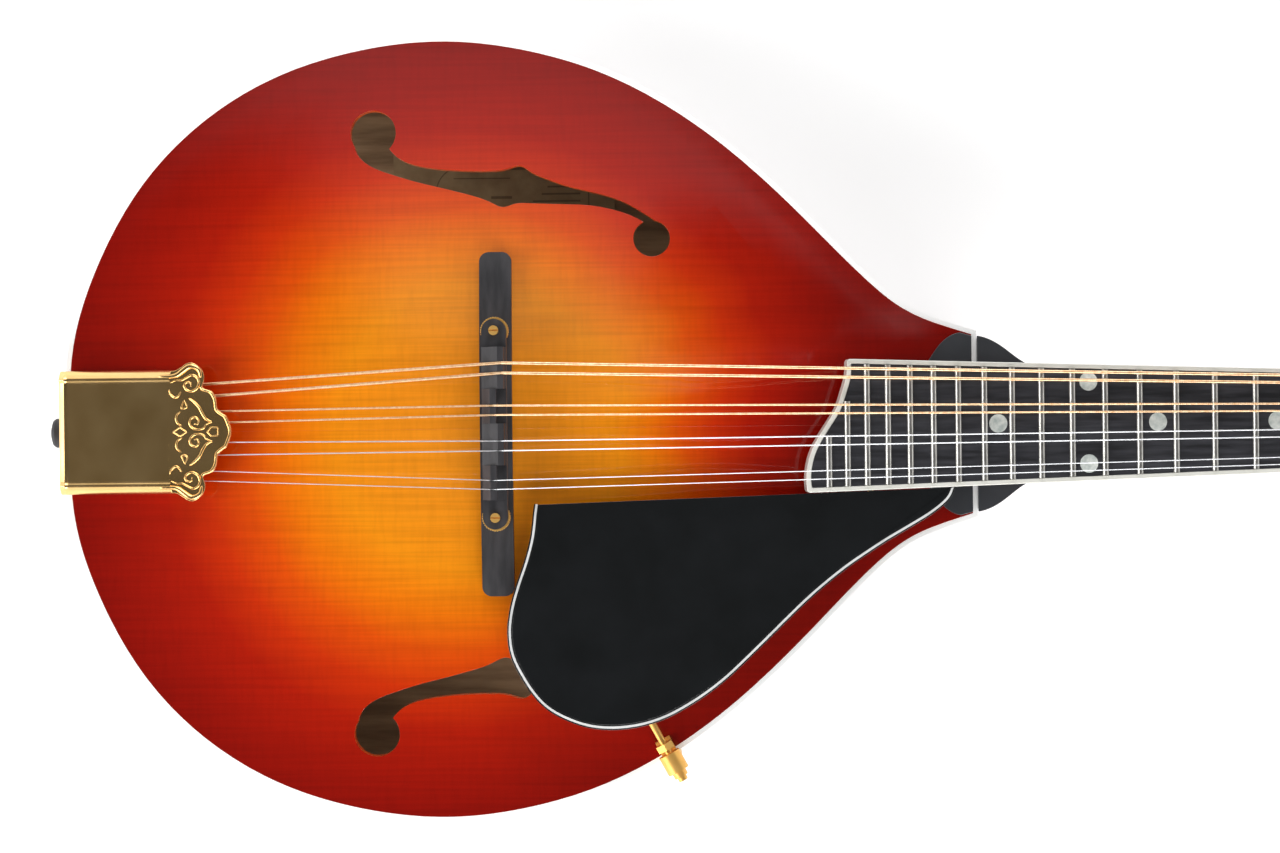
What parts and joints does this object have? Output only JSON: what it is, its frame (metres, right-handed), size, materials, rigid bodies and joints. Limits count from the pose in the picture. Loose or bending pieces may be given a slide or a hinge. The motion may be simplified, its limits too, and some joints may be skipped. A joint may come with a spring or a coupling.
{
  "type": "mandolin",
  "caption": "Carved-top mandolin with two f-holes, adjustable bridge, covered tailpiece, raised pickguard, bound fingerboard and geared tuners, strung with four pairs of strings.",
  "frame": {"origin": "bottom centre of the bounding box of the whole instrument", "axes": "+X along the neck from the tail end to the headstock, +Y towards the bass strings, +Z out of the top, square to the plane of the ribs"},
  "size_m": [0.6554, 0.2496, 0.1036],
  "materials": {
    "spruce_top": "gloss",
    "maple_back": "gloss",
    "maple_neck": "gloss",
    "inner_wood": "matte",
    "ivoroid": "gloss",
    "black_gloss": "gloss",
    "guard_edge": "gloss",
    "paper": "matte",
    "ebony": "satin",
    "gold": "polished",
    "button": "gloss",
    "nickel": "polished",
    "pearl": "gloss",
    "bone": "satin",
    "steel": "satin",
    "string_steel": "polished",
    "string_bronze": "satin"
  },
  "bodies": {
    "instrument": {"back_binding": "ivoroid", "back_plate_bass": "maple_back", "back_plate_treble": "maple_back", "bridge_base": "ebony", "bridge_studs": "gold", "end_pin": "ebony", "fingerboard": "ebony", "fingerboard_binding": "ivoroid", "frets": "nickel", "headstock_overlay": "black_gloss", "headstock_screws": "gold", "heel_cap": "black_gloss", "label": "paper", "linings": "inner_wood", "neck": "maple_neck", "neck_block": "inner_wood", "neck_joint_overlay": "black_gloss", "nut": "bone", "pickguard": "black_gloss", "pickguard_binding": "guard_edge", "pickguard_clamp": "gold", "pickguard_mounts": "gold", "position_dots": "pearl", "post_bushings": "gold", "rib_bass": "maple_back", "rib_treble": "maple_back", "strings_plain": "string_steel", "strings_wound": "string_bronze", "tail_block": "inner_wood", "tailpiece_base": "gold", "tailpiece_screws": "gold", "tone_bars": "inner_wood", "top_binding": "ivoroid", "top_plate_bass": "spruce_top", "top_plate_treble": "spruce_top", "truss_rod": "steel", "truss_rod_cover": "black_gloss", "tuner_plate_bass": "gold", "tuner_plate_treble": "gold"},
    "tuner_knob_1": {"tuner_knob_1": "button"},
    "tuner_post_1": {"tuner_post_1": "gold"},
    "tuner_knob_2": {"tuner_knob_2": "button"},
    "tuner_post_2": {"tuner_post_2": "gold"},
    "tuner_knob_3": {"tuner_knob_3": "button"},
    "tuner_post_3": {"tuner_post_3": "gold"},
    "tuner_knob_4": {"tuner_knob_4": "button"},
    "tuner_post_4": {"tuner_post_4": "gold"},
    "tuner_knob_5": {"tuner_knob_5": "button"},
    "tuner_post_5": {"tuner_post_5": "gold"},
    "tuner_knob_6": {"tuner_knob_6": "button"},
    "tuner_post_6": {"tuner_post_6": "gold"},
    "tuner_knob_7": {"tuner_knob_7": "button"},
    "tuner_post_7": {"tuner_post_7": "gold"},
    "tuner_knob_8": {"tuner_knob_8": "button"},
    "tuner_post_8": {"tuner_post_8": "gold"},
    "saddle": {"bridge_saddle": "ebony"},
    "thumbwheel_bass": {"thumbwheel_bass": "gold"},
    "thumbwheel_treble": {"thumbwheel_treble": "gold"},
    "tailpiece_cover": {"tailpiece_cover": "gold"},
    "truss_rod_nut": {"truss_rod_nut": "gold"}
  },
  "joints": [
    {"name": "tuner_knob_1_turn", "type": "hinge", "parent": "instrument", "child": "tuner_knob_1", "pos_m": [0.21403, 0.0215, 0.03311], "axis": [0, 1, 0], "continuous": true},
    {"name": "tuner_post_1_turn", "type": "hinge", "parent": "instrument", "child": "tuner_post_1", "pos_m": [0.2126, 0.0215, 0.05169], "axis": [0.3256, 0, 0.9455], "continuous": true},
    {"name": "tuner_knob_2_turn", "type": "hinge", "parent": "instrument", "child": "tuner_knob_2", "pos_m": [0.23578, 0.0215, 0.02562], "axis": [0, 1, 0], "continuous": true},
    {"name": "tuner_post_2_turn", "type": "hinge", "parent": "instrument", "child": "tuner_post_2", "pos_m": [0.23435, 0.0215, 0.0442], "axis": [0.3256, 0, 0.9455], "continuous": true},
    {"name": "tuner_knob_3_turn", "type": "hinge", "parent": "instrument", "child": "tuner_knob_3", "pos_m": [0.25752, 0.0215, 0.01813], "axis": [0, 1, 0], "continuous": true},
    {"name": "tuner_post_3_turn", "type": "hinge", "parent": "instrument", "child": "tuner_post_3", "pos_m": [0.25609, 0.0215, 0.03671], "axis": [0.3256, 0, 0.9455], "continuous": true},
    {"name": "tuner_knob_4_turn", "type": "hinge", "parent": "instrument", "child": "tuner_knob_4", "pos_m": [0.27927, 0.0215, 0.01064], "axis": [0, 1, 0], "continuous": true},
    {"name": "tuner_post_4_turn", "type": "hinge", "parent": "instrument", "child": "tuner_post_4", "pos_m": [0.27784, 0.0215, 0.02922], "axis": [0.3256, 0, 0.9455], "continuous": true},
    {"name": "tuner_knob_5_turn", "type": "hinge", "parent": "instrument", "child": "tuner_knob_5", "pos_m": [0.21403, -0.0215, 0.03311], "axis": [0, -1, 0], "continuous": true},
    {"name": "tuner_post_5_turn", "type": "hinge", "parent": "instrument", "child": "tuner_post_5", "pos_m": [0.2126, -0.0215, 0.05169], "axis": [0.3256, 0, 0.9455], "continuous": true},
    {"name": "tuner_knob_6_turn", "type": "hinge", "parent": "instrument", "child": "tuner_knob_6", "pos_m": [0.23578, -0.0215, 0.02562], "axis": [0, -1, 0], "continuous": true},
    {"name": "tuner_post_6_turn", "type": "hinge", "parent": "instrument", "child": "tuner_post_6", "pos_m": [0.23435, -0.0215, 0.0442], "axis": [0.3256, 0, 0.9455], "continuous": true},
    {"name": "tuner_knob_7_turn", "type": "hinge", "parent": "instrument", "child": "tuner_knob_7", "pos_m": [0.25752, -0.0215, 0.01813], "axis": [0, -1, 0], "continuous": true},
    {"name": "tuner_post_7_turn", "type": "hinge", "parent": "instrument", "child": "tuner_post_7", "pos_m": [0.25609, -0.0215, 0.03671], "axis": [0.3256, 0, 0.9455], "continuous": true},
    {"name": "tuner_knob_8_turn", "type": "hinge", "parent": "instrument", "child": "tuner_knob_8", "pos_m": [0.27927, -0.0215, 0.01064], "axis": [0, -1, 0], "continuous": true},
    {"name": "tuner_post_8_turn", "type": "hinge", "parent": "instrument", "child": "tuner_post_8", "pos_m": [0.27784, -0.0215, 0.02922], "axis": [0.3256, 0, 0.9455], "continuous": true},
    {"name": "saddle_height", "type": "slide", "parent": "instrument", "child": "saddle", "axis": [0, 0, 1], "range_m": [-0.0015, 0]},
    {"name": "thumbwheel_bass_turn", "type": "hinge", "parent": "saddle", "child": "thumbwheel_bass", "pos_m": [-0.18031, 0.0303, 0.09483], "axis": [0, 0, 1], "range_deg": [-677, 0]},
    {"name": "thumbwheel_treble_turn", "type": "hinge", "parent": "saddle", "child": "thumbwheel_treble", "pos_m": [-0.18031, -0.0275, 0.09483], "axis": [0, 0, 1], "range_deg": [-677, 0]},
    {"name": "cover_slide", "type": "slide", "parent": "instrument", "child": "tailpiece_cover", "axis": [0.9976, 0, 0.0698], "range_m": [0, 0.0065]},
    {"name": "truss_rod_nut_turn", "type": "hinge", "parent": "instrument", "child": "truss_rod_nut", "pos_m": [0.18746, 0, 0.05562], "axis": [0.9962, 0, -0.0872], "range_deg": [-360, 360]}
  ],
  "couplings": [
    {"joint": "tuner_post_1_turn", "follows": "tuner_knob_1_turn", "ratio": -0.0625},
    {"joint": "tuner_post_2_turn", "follows": "tuner_knob_2_turn", "ratio": -0.0625},
    {"joint": "tuner_post_3_turn", "follows": "tuner_knob_3_turn", "ratio": -0.0625},
    {"joint": "tuner_post_4_turn", "follows": "tuner_knob_4_turn", "ratio": -0.0625},
    {"joint": "tuner_post_5_turn", "follows": "tuner_knob_5_turn", "ratio": 0.0625},
    {"joint": "tuner_post_6_turn", "follows": "tuner_knob_6_turn", "ratio": 0.0625},
    {"joint": "tuner_post_7_turn", "follows": "tuner_knob_7_turn", "ratio": 0.0625},
    {"joint": "tuner_post_8_turn", "follows": "tuner_knob_8_turn", "ratio": 0.0625},
    {"joint": "thumbwheel_bass_turn", "follows": "saddle_height", "rad_per_m": 7854},
    {"joint": "thumbwheel_treble_turn", "follows": "saddle_height", "rad_per_m": 7854}
  ]
}
